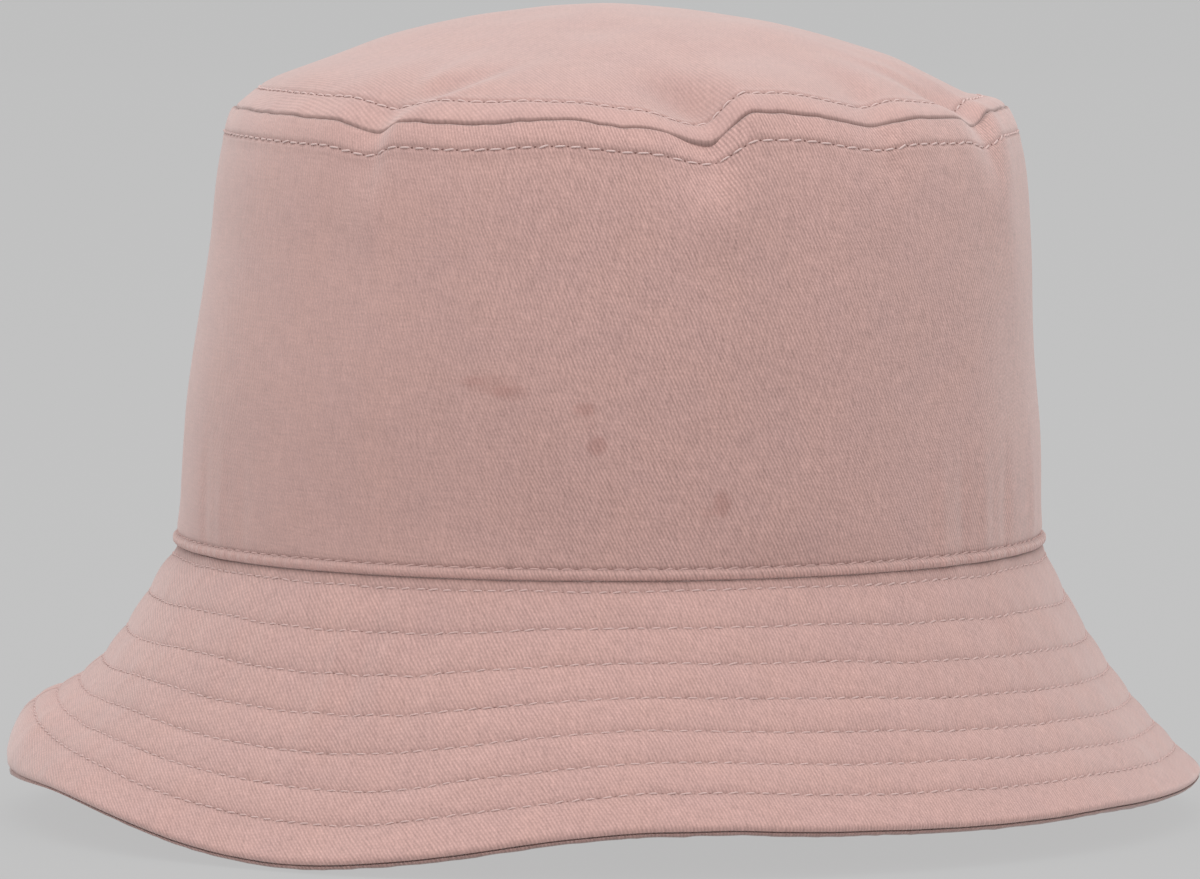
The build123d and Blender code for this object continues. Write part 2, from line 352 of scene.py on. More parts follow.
def tip_cloth(angle, out):
    """The sewn tip: the dome, padded up to its stitching, drawn down and in at the tucks,
    with a slack hollow above each tuck and slow unevenness."""
    point = tip_face(angle, out)
    square = square_to(tip_face, angle, out)
    away = (1.0 - out) * tip_half_width * 1.05
    soft = 0.9 * mm * unevenness(point, 33 * mm, 7) + 0.3 * mm * unevenness(point, 12 * mm, 8)
    puckers = 0.12 * mm * unevenness(point, 4.0 * mm, 9) * hump(away - tip_row, 4 * mm)
    off = seam_band(away, 0.28 * mm, 0.28 * mm) + soft * ease(away / (12 * mm)) + puckers
    run = np.clip(away / (14 * mm), 0.0, 2.0)
    down, inwards = seam_pull(angle, away, skew_by=run)
    hollow = tip_hollows(angle, away)
    beside = np.abs(turned(angle, 268.0))
    facing = np.sin(np.radians(angle)) ** 2
    fuller = (0.9 + 1.1 * ease((beside - 6.0) / 10.0) * facing) * mm * round_edge(away / (8 * mm))
    fuller = fuller * (1.0 - ease((away - 8 * mm) / (26 * mm)))
    x = point[..., 0]
    slump = 2.0 * mm * ease((x - 58 * mm) / (22 * mm)) - 1.3 * mm * ease((-x - 18 * mm) / (30 * mm))
    lowered = down + hollow - fuller + slump * ease(away / (9 * mm))
    return point + square * (off - 0.35 * inwards)[..., None] - upright * lowered[..., None]


def quilting(distance):
    """Height of the quilted cloth over its stitch valleys: a soft pillow between each two rows."""
    ends = [-1.5 * mm] + brim_rows + [brim_length + 4.5 * mm]
    height = np.zeros_like(distance)
    for low, high in zip(ends[:-1], ends[1:]):
        share = (distance - low) / (high - low)
        inside = (share >= 0.0) & (share < 1.0)
        pillow = np.clip(4.0 * share * (1.0 - share), 0.0, 1.0) ** 0.62
        height = np.where(inside, pillow * min(1.0, (high - low) / (8 * mm)), height)
    return height


def sway(angle, out):
    """How far the brim's stitch rows wander from their even places."""
    along = out * 75 * mm
    return 0.42 * mm * wobble(angle, 19 * mm, 31, along) + 0.16 * mm * wobble(angle, 6 * mm, 32, along)


def brim_bend(angle, out, depth=0.0):
    """The brim without its quilting: the brim face with a slow unevenness that all its
    layers share, and a depth further down for the lower layers."""
    point = brim_face(angle, out)
    soft = 0.45 * mm * unevenness(point, 24 * mm, 11) + 0.22 * mm * unevenness(point, 9 * mm, 12)
    dents = 0.0
    marks = ((236.5, 0.5, 1.0), (240.0, -0.55, 1.1), (243.5, 0.45, 1.0), (247.2, -0.45, 1.2),
             (251.0, 0.35, 1.2), (288.0, -0.4, 2.0), (300.0, 0.35, 3.0), (222.0, -0.3, 2.0),
             (20.0, -0.4, 2.0), (75.0, 0.4, 1.6), (80.0, -0.4, 1.6), (130.0, -0.4, 1.8))
    for centre, dent, width in marks:
        dents = dents + dent * mm * hump(turned(angle, centre), width) * hump(out - 0.32, 0.26)
    off = (soft + dents) * ease(out * brim_length / (6 * mm)) - depth
    return point + square_to(brim_face, angle, out) * off[..., None]


def brim_cloth(angle, out):
    """The sewn upper brim: pillows between the stitch rows, small puckers across them, and
    an edge that rolls over."""
    point = brim_face(angle, out)
    square = square_to(brim_face, angle, out)
    distance = out * brim_length
    pillow = 0.62 * mm * quilting(distance + sway(angle, out)) - 0.36 * mm
    puckers = 0.09 * mm * unevenness(point, 3.2 * mm, 13) + 0.10 * mm * unevenness(point, 7 * mm, 14)
    to_edge = brim_length - distance
    edge = -0.95 * mm * (1.0 - round_edge(to_edge / (1.3 * mm)))
    tuck_in = -0.3 * mm * (1.0 - round_edge(distance / (0.4 * mm)))
    off = pillow + puckers + edge + tuck_in
    return brim_bend(angle, out) + square * off[..., None]


def under_cloth(angle, out):
    """The sewn under-brim: the same pillows turned downwards, below the interlining, with
    an edge that rolls up to meet the upper brim's."""
    point = brim_face(angle, out)
    square = square_to(brim_face, angle, out)
    distance = out * brim_length
    pillow = 0.5 * mm * quilting(distance + sway(angle, out)) - 0.25 * mm
    puckers = 0.10 * mm * unevenness(point, 4 * mm, 16)
    to_edge = brim_length * 1.006 - distance
    frayed = 0.22 * mm * wobble(angle, 1.4 * mm, 33) * hump(to_edge, 0.8 * mm)
    edge = -1.05 * mm * (1.0 - round_edge(to_edge / (1.6 * mm))) + frayed
    off = under_bottom + pillow + puckers + edge
    return brim_bend(angle, out) - square * off[..., None]


# ================ meshes ================

def make_piece(name, points, faces, materials, uv=None, flags=None, choice=None):
    """One mesh object at the origin from arrays of points and faces, with an optional map
    in millimetres along the cloth, named numbers per point, and a material per face."""
    mesh = bpy.data.meshes.new(name)
    mesh.from_pydata(points.reshape(-1, 3), [], faces.tolist() if hasattr(faces, "tolist") else faces)
    for material in materials:
        mesh.materials.append(material)
    mesh.polygons.foreach_set("use_smooth", np.full(len(mesh.polygons), True))
    if choice is not None:
        mesh.polygons.foreach_set("material_index", choice.astype(np.int32))
    if uv is not None:
        corner = np.zeros(len(mesh.loops), np.int32)
        mesh.loops.foreach_get("vertex_index", corner)
        layer = mesh.uv_layers.new(name="cloth_mm")
        layer.data.foreach_set("uv", uv.reshape(-1, 2)[corner].astype(np.float32).ravel())
    for label, values in (flags or {}).items():
        attribute = mesh.attributes.new(label, "FLOAT", "POINT")
        attribute.data.foreach_set("value", values.ravel().astype(np.float32))
    mesh.update()
    piece = bpy.data.objects.new(name, mesh)
    bpy.context.scene.collection.objects.link(piece)
    return piece


def sheet_faces(columns, rows, start=0, flip=False, closed=False):
    """The four-cornered faces of a grid of points, columns by rows; closed joins the last
    column to the first."""
    index = np.arange(columns * rows).reshape(columns, rows) + start
    after = np.roll(index, -1, axis=0) if closed else index[1:]
    before = index if closed else index[:-1]
    quads = np.stack([before[:, :-1], after[:, :-1], after[:, 1:], before[:, 1:]], axis=-1).reshape(-1, 4)
    return quads[:, ::-1] if flip else quads


def slab(name, outer, inner, materials, uv, flags=None, closed=False, pole=False):
    """A closed piece of cloth between two grids of points, the outer and the inner face,
    joined by a strip along each free border. With a pole the first row is a small ring
    round the middle, and each face is closed there by a fan."""
    columns, rows = outer.shape[:2]
    count = columns * rows
    index = np.arange(count).reshape(columns, rows)
    borders = [index[:, 0], index[::-1, -1]]
    if not closed:
        borders = [np.concatenate([index[:, 0], index[-1, 1:], index[:-1, -1][::-1], index[0, 1:-1][::-1]])]
    faces = [sheet_faces(columns, rows, 0, False, closed), sheet_faces(columns, rows, count, True, closed)]
    for ring in borders[1:] if pole else borders:
        after = np.roll(ring, -1)
        faces.append(np.stack([after, ring, ring + count, after + count], axis=-1))
    faces = np.concatenate(faces)
    points = np.concatenate([outer.reshape(-1, 3), inner.reshape(-1, 3)])
    both = np.concatenate([uv.reshape(-1, 2), uv.reshape(-1, 2)])
    doubled = {label: np.concatenate([v.ravel(), 0 * v.ravel()]) for label, v in (flags or {}).items()}
    fans = np.zeros((0, 3), int)
    if pole:
        first, after = index[:, 0], np.roll(index[:, 0], -1)
        upper = np.stack([after, first, np.full(columns, 2 * count)], axis=-1)
        lower = np.stack([first, after, np.full(columns, 2 * count - 2)], axis=-1) + [count, count, 3]
        fans = np.concatenate([upper, lower])
        points = np.concatenate([points, [outer[:, 0].mean(axis=0), inner[:, 0].mean(axis=0)]])
        both = np.concatenate([both, [uv[:, 0].mean(axis=0)] * 2])
        doubled = {label: np.append(v, [0.0, 0.0]) for label, v in doubled.items()}
    if volume(points, faces) < 0:
        faces, fans = faces[:, ::-1], fans[:, ::-1]
    return make_piece(name, points, faces.tolist() + fans.tolist(), materials, both, doubled)


def volume(points, faces):
    """Six times the volume inside some four-cornered faces; positive if they point outwards."""
    a, b, c, d = (points[faces[:, i]] for i in range(4))
    return float(np.sum(a * np.cross(b, c)) + np.sum(a * np.cross(c, d)))


def stitch_row(name, surface, along, size, pitch, materials, seed, spread=(90.0, 450.0), lift=0.10 * mm,
               inward=False, wander=None, hole_size=1.0):
    """A row of stitches laid on a surface at one place along it. Each stitch is a short
    six-sided tube that dips into the cloth at both ends and leans a little; a dark bead,
    painted shade for the needle hole, lies between each two. All are worked out at once along the row."""
    fine = np.linspace(spread[0], spread[1], 4001)
    route = np.full_like(fine, along) - (0.0 if wander is None else wander(fine, along) / size)
    line = surface(fine, route)
    run = np.concatenate([[0.0], np.cumsum(np.linalg.norm(np.diff(line, axis=0), axis=1))])
    count = max(2, int(round(run[-1] / pitch)))
    chance = np.random.default_rng(seed)
    at = (np.arange(count) + 0.5) / count * run[-1] + chance.normal(0.0, 0.05 * pitch, count)
    angle = np.interp(at, run, fine)
    step = np.interp(angle, fine, route)
    middle = surface(angle, step)
    near = (spread[1] - spread[0]) / 1500
    after, before = angle + near, angle - near
    ahead = surface(after, np.interp(after, fine, route)) - surface(before, np.interp(before, fine, route))
    across = surface(angle, step + 0.4 * mm / size) - surface(angle, step - 0.4 * mm / size)
    ahead /= np.linalg.norm(ahead, axis=-1, keepdims=True)
    out = np.cross(ahead, across)
    out /= np.linalg.norm(out, axis=-1, keepdims=True)
    centre = np.array([crown_x, 0.0, base_z - 3 * crown_height])
    facing = np.sign(np.sum(out * (middle - centre), axis=-1, keepdims=True))
    out *= -facing if inward else facing
    side = np.cross(out, ahead)
    lean = chance.normal(0.10, 0.09, count)[:, None]
    ahead, side = ahead + side * lean, side - ahead * lean
    rings, sides = 7, 6
    share = np.linspace(-1.0, 1.0, rings)
    around = np.arange(sides) * 2 * pi / sides
    length = stitch_length * pitch / stitch_pitch * chance.normal(1.0, 0.08, (count, 1))
    forward = share[None] * length / 2
    rise = lift * (1.0 - np.abs(share) ** 3.0) * 1.8 - 0.16 * mm * np.abs(share) ** 6
    thick = thread_radius * (1.0 - 0.45 * np.abs(share) ** 4)
    ring_up = rise[None, :, None] + (thick[:, None] * np.sin(around)[None])[None]
    ring_side = np.broadcast_to((thick[:, None] * np.cos(around)[None])[None] * 1.15, ring_up.shape)
    tube = (middle[:, None, None] + ahead[:, None, None] * forward[:, :, None, None]
            + out[:, None, None] * ring_up[..., None] + side[:, None, None] * ring_side[..., None])
    base = np.arange(count)[:, None, None] * rings * sides
    ring = (np.arange(rings - 1) * sides)[None, :, None]
    edge = np.arange(sides)[None, None, :]
    after = np.mod(edge + 1, sides)
    quads = np.stack([base + ring + edge, base + ring + after, base + ring + sides + after,
                      base + ring + sides + edge], axis=-1).reshape(-1, 4)
    starts = (np.arange(count) * rings * sides)[:, None] + np.arange(sides)[None, ::-1]
    ends = (np.arange(count) * rings * sides + (rings - 1) * sides)[:, None] + np.arange(sides)[None]
    holes, hole_faces = needle_holes(surface, at, run, fine, route, out, count * rings * sides, hole_size)
    faces = quads.tolist() + starts.tolist() + ends.tolist() + hole_faces.tolist()
    choice = np.concatenate([np.zeros(len(quads) + 2 * count), np.ones(len(hole_faces))])
    points = np.concatenate([tube.reshape(-1, 3), holes.reshape(-1, 3)])
    return make_piece(name, points, faces, materials, choice=choice)


def needle_holes(surface, at, run, fine, route, out, start, hole_size):
    """A small flat bead, eight-sided, sunk in the cloth between each two stitches, that carries the painted
    shade of the needle hole.
    """
    between = (at + np.roll(at, -1)) / 2
    between[-1] = (at[-1] + run[-1]) / 2
    angle = np.interp(between, run, fine)
    step = np.interp(angle, fine, route)
    middle = surface(angle, step) + out * 0.02 * mm
    near = (fine[-1] - fine[0]) / 1500
    ahead = surface(angle + near, step) - surface(angle - near, step)
    ahead /= np.linalg.norm(ahead, axis=-1, keepdims=True)
    side = np.cross(out, ahead)
    sides = 8
    turn = np.arange(sides) * 2 * pi / sides
    disc = (ahead[:, None] * np.cos(turn)[None, :, None] * 0.27 * mm * hole_size
            + side[:, None] * np.sin(turn)[None, :, None] * 0.20 * mm * hole_size)
    rim = middle[:, None] + disc
    top = (middle + out * 0.06 * mm)[:, None]
    bottom = (middle - out * 0.10 * mm)[:, None]
    points = np.concatenate([rim, top, bottom], axis=1)
    first = start + np.arange(len(middle))[:, None, None] * (sides + 2)
    edge = np.arange(sides)
    after = np.mod(edge + 1, sides)
    upper = first + np.stack([edge, after, np.full(sides, sides)], axis=-1)[None]
    lower = first + np.stack([after, edge, np.full(sides, sides + 1)], axis=-1)[None]
    return points, np.concatenate([upper.reshape(-1, 3), lower.reshape(-1, 3)])


def packed(count, marks, width, total):
    """Places from 0 to 1, closer together near each mark: the running sum of a density
    that has a hump of the given width at every mark."""
    fine = np.linspace(0.0, 1.0, 2001)
    density = 1.0 + sum(5.0 * hump((fine - mark / total), width / total) for mark in marks)
    run = np.concatenate([[0.0], np.cumsum((density[1:] + density[:-1]) / 2)])
    return np.interp(np.linspace(0.0, run[-1], count), run, fine)


def arc_map(angle, up):
    """Millimetres along the crown side's cloth: round the hat, and up."""
    around = np.radians(angle) * (half_width + half_depth) / 2
    return np.stack([around / mm, up * crown_height / mm], axis=-1)


def cone_map(angle, along, centre):
    """Millimetres on the brim's flat cut: half of the hat opens out to a ring segment, so
    that the grain runs straight across the cut piece."""
    turn = np.radians(turned(angle, centre)) * brim_opening / 180.0
    radius = (brim_inner + along * brim_length) / mm
    return np.stack([radius * np.sin(turn), -radius * np.cos(turn)], axis=-1)


# ================ shader maths ================

class Value:
    """A node's output in a shader. Its operators add Math nodes, so maths reads as maths."""

    def __init__(self, maker, socket):
        self.maker = maker
        self.socket = socket

    def math(self, operation, *values):
        return self.maker.add("ShaderNodeMath", {"operation": operation}, *values)

    def __add__(self, other):
        return self.math("ADD", self, other)

    def __sub__(self, other):
        return self.math("SUBTRACT", self, other)

    def __mul__(self, other):
        return self.math("MULTIPLY", self, other)

    def __truediv__(self, other):
        return self.math("DIVIDE", self, other)

    def __pow__(self, other):
        return self.math("POWER", self, other)

    def __rsub__(self, other):
        return self.math("SUBTRACT", other, self)

    __radd__ = __add__
    __rmul__ = __mul__

    def wave(self):
        """A smooth wave from 0 to 1 that repeats for each whole number."""
        return self.math("SINE", self * (2 * pi)) * 0.5 + 0.5

    def whole(self):
        return self.math("FLOOR", self)

    def above(self, low, high):
        """0 below low, 1 over high, smooth between."""
        return self.maker.add("ShaderNodeMapRange", {"interpolation_type": "SMOOTHSTEP"}, self, low, high)


class Finish:
    """A material being made, with its one Principled shader."""

    def __init__(self, name, sheen=0.0, sheen_roughness=0.5, specular=0.2):
        self.material = bpy.data.materials.new(name)
        self.material.use_nodes = True
        self.tree = self.material.node_tree
        self.shader = self.tree.nodes["Principled BSDF"]
        self.shader.inputs["Sheen Weight"].default_value = sheen
        self.shader.inputs["Sheen Roughness"].default_value = sheen_roughness
        self.shader.inputs["Sheen Tint"].default_value = (1.0, 0.93, 0.91, 1.0)
        self.shader.inputs["Specular IOR Level"].default_value = specular

    def add(self, kind, settings, *values, output=0, places=None, **named):
        """Adds a node: its settings first, then its sockets by order, by place or by name."""
        node = self.tree.nodes.new(kind)
        for key, setting in settings.items():
            setattr(node, key, setting)
        sockets = {**dict(enumerate(values)), **(places or {}), **named}
        for key, value in sockets.items():
            self.feed(node.inputs[key], value)
        return Value(self, node.outputs[output])

    def feed(self, socket, value):
        if isinstance(value, Value):
            self.tree.links.new(value.socket, socket)
        else:
            socket.default_value = value

    def flag(self, label):
        """A named number that the mesh carries at each point."""
        return self.add("ShaderNodeAttribute", {"attribute_name": label}, output="Fac")

    def cloth_map(self):
        """(the place along the cloth, and its two parts), in millimetres."""
        place = self.add("ShaderNodeUVMap", {"uv_map": "cloth_mm"})
        return place, self.part(place, "X"), self.part(place, "Y")

    def part(self, place, axis):
        """One of the three numbers of a place."""
        return self.add("ShaderNodeSeparateXYZ", {}, place, output=axis)

    def space(self):
        """The place in the hat's own frame, in metres."""
        return self.add("ShaderNodeTexCoord", {}, output="Object")

    def noise(self, place, scale, detail=2.0, roughness=0.5):
        """Smooth noise from about 0 to 1."""
        return self.add("ShaderNodeTexNoise", {}, Vector=place, Scale=scale, Detail=detail,
                        Roughness=roughness, output=0)

    def joined(self, x, y, z=0.0):
        """A place made from its parts."""
        return self.add("ShaderNodeCombineXYZ", {}, x, y, z)

    def stretched(self, place, x, y, z=1.0):
        return self.add("ShaderNodeMapping", {}, place, Scale=(x, y, z))

    def blend(self, share, first, second):
        """A colour between two colours."""
        return self.add("ShaderNodeMix", {"data_type": "RGBA"}, share, output=2, places={6: first, 7: second})

    def lit(self, colour, gain):
        """A colour made lighter or darker by a number, 1 for no change."""
        gains = self.joined(gain, gain, gain)
        return self.add("ShaderNodeVectorMath", {"operation": "MULTIPLY"}, colour, gains)

    def finish(self, colour, roughness, height=None, strength=0.4, depth=0.1 * mm):
        """Joins colour, roughness and a height field for the bump to the shader."""
        self.feed(self.shader.inputs["Base Color"], colour)
        self.feed(self.shader.inputs["Roughness"], roughness)
        if height is not None:
            bump = self.add("ShaderNodeBump", {}, Strength=strength, Distance=depth, Height=height)
            self.tree.links.new(bump.socket, self.shader.inputs["Normal"])
        return self.material


# ================ finishes ================

dusty_pink = (0.540, 0.338, 0.312, 1.0)
warm_pink = (0.565, 0.345, 0.300, 1.0)
stain_brown = (0.36, 0.17, 0.145, 1.0)
wale_pitch = 0.71
float_length = 1.05
grain_side = 63.0
# Each mark on the front of the side: its place across and up, its size, its strength.
stains = (
    (-21.6, 96.3, 4.8, 1.9, 0.70), (-17.6, 94.6, 3.2, 1.4, 0.60), (-26.6, 96.8, 2.8, 0.9, 0.45),
    (-3.0, 91.4, 2.1, 1.4, 1.00), (-0.6, 84.3, 1.9, 1.7, 1.15), (-2.0, 88.0, 1.3, 1.6, 0.40),
    (24.6, 72.3, 1.7, 2.4, 1.00), (21.5, 70.5, 1.3, 1.2, 0.60),
)


def twill(name, gain=1.0, weave=1.0, stained_and_top_lit=False, sheen=0.60, colour=dusty_pink, other=warm_pink):
    """Washed cotton twill: slanting wales broken into yarn floats, slubs along both yarns,
    a soft nap, painted shade in the seam and stitch valleys, and paler worn edges with painted highlights."""
    make = Finish(name, sheen=sheen)
    place, across, along = make.cloth_map()
    drift = make.noise(place, 0.07, 2.0) - 0.5
    turn = radians(grain_side)
    square = across * sin(turn) + along * cos(turn)
    lengthwise = across * cos(turn) - along * sin(turn)
    wale = square / wale_pitch + drift * 1.8
    ridge = wale.wave()
    yarn = (lengthwise / float_length + wale.whole() * 0.381).wave() * ridge
    streak = make.noise(make.joined(square / 0.55, lengthwise / 2.6), 1.0, 2.0)
    nap = make.noise(place, 2.2, 3.0, 0.65)
    slub = (make.noise(make.stretched(place, 0.16, 1.9), 1.0, 2.0)
            + make.noise(make.stretched(place, 1.8, 0.16), 1.0, 2.0))
    cloudy = make.noise(place, 0.045, 3.0, 0.6)
    mottle = make.noise(place, 0.22, 3.0, 0.6)
    clear = 1.0
    if stained_and_top_lit:
        clear = make.part(make.space(), "X").above(-0.075, 0.01) * 0.75 + 0.35
    wales = (ridge - 0.5) * 0.17 + (yarn - 0.3) * 0.13 + (streak - 0.5) * 0.50
    shade = (1.0 + (wales * clear + (nap - 0.5) * 0.50 + (slub - 1.0) * 0.26) * weave
             + (cloudy - 0.5) * 0.12 + (mottle - 0.5) * 0.10)
    # Painted shade darkens the seam and stitch valleys; the wear flag adds paler wear and painted highlights.
    shade = shade * (1.0 - make.flag("crease_shade") * 0.42) * (1.0 + make.flag("wear_and_highlight") * 0.06) * gain
    # Painted light: the crown side grows up to 6% lighter towards its top, where more light falls from above.
    if stained_and_top_lit:
        shade = shade * (1.0 + make.part(make.space(), "Z").above(0.06, 0.145) * 0.06)
    tint = make.blend((make.noise(place, 0.09, 2.0) - 0.5) * 0.8 + 0.35, colour, other)
    if stained_and_top_lit:
        tint = make.blend(stain_mask(make), tint, stain_brown)
    relief = ridge * 0.55 + yarn * 0.35 + nap * 0.5 + slub * 0.2 + streak * 0.7
    return make.finish(make.lit(tint, shade), 0.93 - nap * 0.08, relief, 0.5 * weave, 0.14 * mm)


def stain_mask(make):
    """Faint rubbed-in marks: ovals with ragged edges, only on the front."""
    space = make.space()
    x, y, z = (make.part(space, axis) for axis in "XYZ")
    ragged = (make.noise(space, 420.0, 3.0, 0.7) - 0.5) * 2.3
    mask = 0.0
    for across, height, wide, tall, strength in stains:
        far = ((x - across * mm) / (wide * mm)) ** 2.0 + ((z - height * mm) / (tall * mm)) ** 2.0
        mask = mask + (1.0 - (far + ragged).above(0.0, 2.4)) * strength
    front = 1.0 - y.above(-0.05, -0.02)
    return mask.above(0.0, 1.4) * front * 0.46


def plain_weave(name, colour, pitch=0.45, contrast=0.08, sheen=0.15):
    """A plain woven tape: yarns over and under each other in both directions."""
    make = Finish(name, sheen=sheen)
    place, across, along = make.cloth_map()
    over = (across / pitch).wave() * (along / pitch + 0.25).wave()
    under = (across / pitch + 0.5).wave() * (along / pitch + 0.75).wave()
    weave = over + under
    nap = make.noise(place, 2.0, 3.0, 0.6)
    shade = 1.0 + (weave - 0.5) * contrast + (nap - 0.5) * 0.16 - make.flag("crease_shade") * 0.25
    return make.finish(make.lit(colour[:3], shade), 0.9 - nap * 0.08, weave + nap * 0.4, 0.3)


def satin(name, colour):
    """A woven label: long floats along one way, so a soft gloss with fine lines."""
    make = Finish(name, sheen=0.1, specular=0.45)
    place, across, along = make.cloth_map()
    lines = (along / 0.16 + make.noise(place, 0.6, 2.0) * 0.5).wave()
    nap = make.noise(make.stretched(place, 0.4, 3.0), 1.0, 2.0)
    shade = 1.0 + (lines - 0.5) * 0.06 + (nap - 0.5) * 0.12 - make.flag("crease_shade") * 0.2
    return make.finish(make.lit(colour[:3], shade), 0.42 + nap * 0.2, lines + nap, 0.15)


def felted(name, colour):
    """Non-woven interlining: matted fibres with no direction."""
    make = Finish(name, sheen=0.1)
    space = make.space()
    fibres = make.noise(space, 900.0, 4.0, 0.75)
    clumps = make.noise(space, 160.0, 3.0, 0.6)
    shade = 1.0 + (fibres - 0.5) * 0.25 + (clumps - 0.5) * 0.12
    mixed = make.blend(clumps, colour, (0.70, 0.66, 0.60, 1.0))
    return make.finish(make.lit(mixed, shade), 0.95 - fibres * 0.05, fibres, 0.4)


def spun_thread(name, colour, gain=1.0):
    """Sewing thread: a twist of fine fibres with a low sheen."""
    make = Finish(name, sheen=0.25, specular=0.35)
    space = make.space()
    fibres = make.noise(space, 2600.0, 2.0, 0.6)
    drift = make.noise(space, 60.0, 2.0)
    shade = (1.0 + (fibres - 0.5) * 0.30 + (drift - 0.5) * 0.20) * gain
    mixed = make.blend(drift * 0.3, colour, dusty_pink)
    return make.finish(make.lit(mixed, shade), 0.68 + fibres * 0.15, fibres, 0.3, 0.05 * mm)


def needle_hole_shade(name):
    """Painted shade for the hole where the thread goes down: a dark cloth colour, no gloss."""
    make = Finish(name, specular=0.05)
    nap = make.noise(make.space(), 1500.0, 2.0)
    return make.finish(make.blend(nap, (0.20, 0.105, 0.095, 1.0), (0.28, 0.155, 0.14, 1.0)), 1.0)


# ================ the pieces ================

washed = twill("washed twill", stained_and_top_lit=True)
washed_tip = twill("washed twill, tip", weave=0.6)
washed_brim = twill("washed twill, brim", weave=0.9)
# Painted shade: the under-brim's twill is made 6% darker, as it faces down.
shaded_under_brim = twill("washed twill, under the brim, painted shade", gain=0.94)
band_twill = twill("washed twill, sweatband", gain=0.97, sheen=0.12)
nonwoven = felted("non-woven interlining", (0.78, 0.76, 0.72, 1.0))
tape = plain_weave("cotton tape", (0.56, 0.41, 0.38, 1.0))
label = satin("label satin", (0.80, 0.74, 0.70, 1.0))
thread = spun_thread("spun thread", (0.73, 0.545, 0.515, 1.0))
brim_thread = spun_thread("spun thread, brim", (0.65, 0.465, 0.435, 1.0))
# Painted shade: a darker copy of the thread for the base row, where it sinks into the rolled lip.
shaded_thread = spun_thread("spun thread, drawn in, painted shade", (0.56, 0.37, 0.34, 1.0))
hole = needle_hole_shade("needle hole shade")
sewing = [thread, hole]
front, back = (180.02, 359.98), (0.02, 179.98)


def sew_in(piece, slot, nodes=(), flat=None, area=None, held="stretched", body="hat"):
    """Joins a piece to its body and hides the nodes it stands for; its slot, cut size (flat, area) and held
    are not used.
    """
    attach(piece, body)
    if nodes:
        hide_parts(*nodes)
    return piece


def grid(angles, alongs, columns):
    """Every angle with every place along: two arrays, columns by rows."""
    return np.meshgrid(np.linspace(*angles, columns), alongs, indexing="ij")


def side_marks(angle, up):
    """Painted shade where the side's cloth lies in a seam or stitch valley, and where it is rubbed pale."""
    height = up * crown_height
    away = crown_height - height
    crease_shade = (1.1 * hump(away, 0.27 * mm) + 0.4 * hump(away - tip_row, 0.6 * mm)
              + 0.5 * hump(height - base_row, 0.5 * mm))
    wear_and_highlight = hump(height - 0.5 * base_row, 0.8 * mm) + hump(away - 2.2 * mm, 1.6 * mm)
    return {"crease_shade": np.clip(crease_shade, 0.0, 1.0), "wear_and_highlight": np.clip(wear_and_highlight, 0.0, 1.0)}


side_rows = packed(150, [0.0, base_row, crown_height - tip_row, crown_height], 3 * mm, crown_height)
for place, angles in (("front", front), ("back", back)):
    angle, up = grid(angles, side_rows, 300)
    outer = side_cloth(angle, up)
    inner = side_bend(angle, up, side_inner)
    piece = slab(f"side_{place}", outer, inner, [washed], arc_map(angle, up), side_marks(angle, up))
    sew_in(piece, "twill", [f"side_panel_{place}"], (0.299, 0.090), area=0.0254)

tip_rows = packed(92, [tip_half_width - tip_row, tip_half_width], 3 * mm, tip_half_width)
tip_rows = 0.01 + 0.99 * tip_rows
angle, out = np.meshgrid(np.arange(360) * 1.0, tip_rows, indexing="ij")
outer = tip_cloth(angle, out)
inner = outer - square_to(tip_face, angle, out) * tip_inner
away = (1.0 - out) * tip_half_width
# Painted shade in the tip seam, its stitch valley and the hollows over the tucks; the padded band by the seam
# rubbed pale.
marks = {"crease_shade": np.clip(1.1 * hump(away, 0.27 * mm) + 0.3 * hump(away - tip_row, 0.6 * mm)
                           + 0.07 * tip_hollows(angle, away) / mm, 0.0, 1.0),
         "wear_and_highlight": hump(away - 2.2 * mm, 1.6 * mm)}
flat_place = tip_face(angle, out)[..., :2] / mm
piece = slab("tip_cloth", outer, inner, [washed_tip], flat_place, marks, closed=True, pole=True)
sew_in(piece, "twill", ["crown_tip"], (0.161, 0.178), area=0.0226)


def brim_marks(angle, out, frayed=0.0):
    """Painted shade in the stitch valleys and at the seam, pillow tops and the edge rubbed pale with a
    painted highlight along the left, or the edge darkened with painted shade where it is frayed."""
    distance = out * brim_length
    height = quilting(distance + sway(angle, out))
    edge = hump(brim_length - distance, 1.2 * mm)
    crease_shade = 0.5 * (1.0 - height) ** 3 + 0.5 * hump(distance, 0.7 * mm)
    # A painted highlight in a band along the brim's left, where it turns away from view.
    wear_and_highlight = 0.35 * height + edge * (1.0 - frayed) + 0.8 * hump(turned(angle, 188.0), 8.0)
    # Where frayed, under the brim, the edge gets painted shade, as it faces down.
    crease_shade = crease_shade * (1.0 - edge) + frayed * edge
    return {"crease_shade": np.clip(crease_shade, 0.0, 1.0), "wear_and_highlight": np.clip(wear_and_highlight, 0.0, 1.5)}


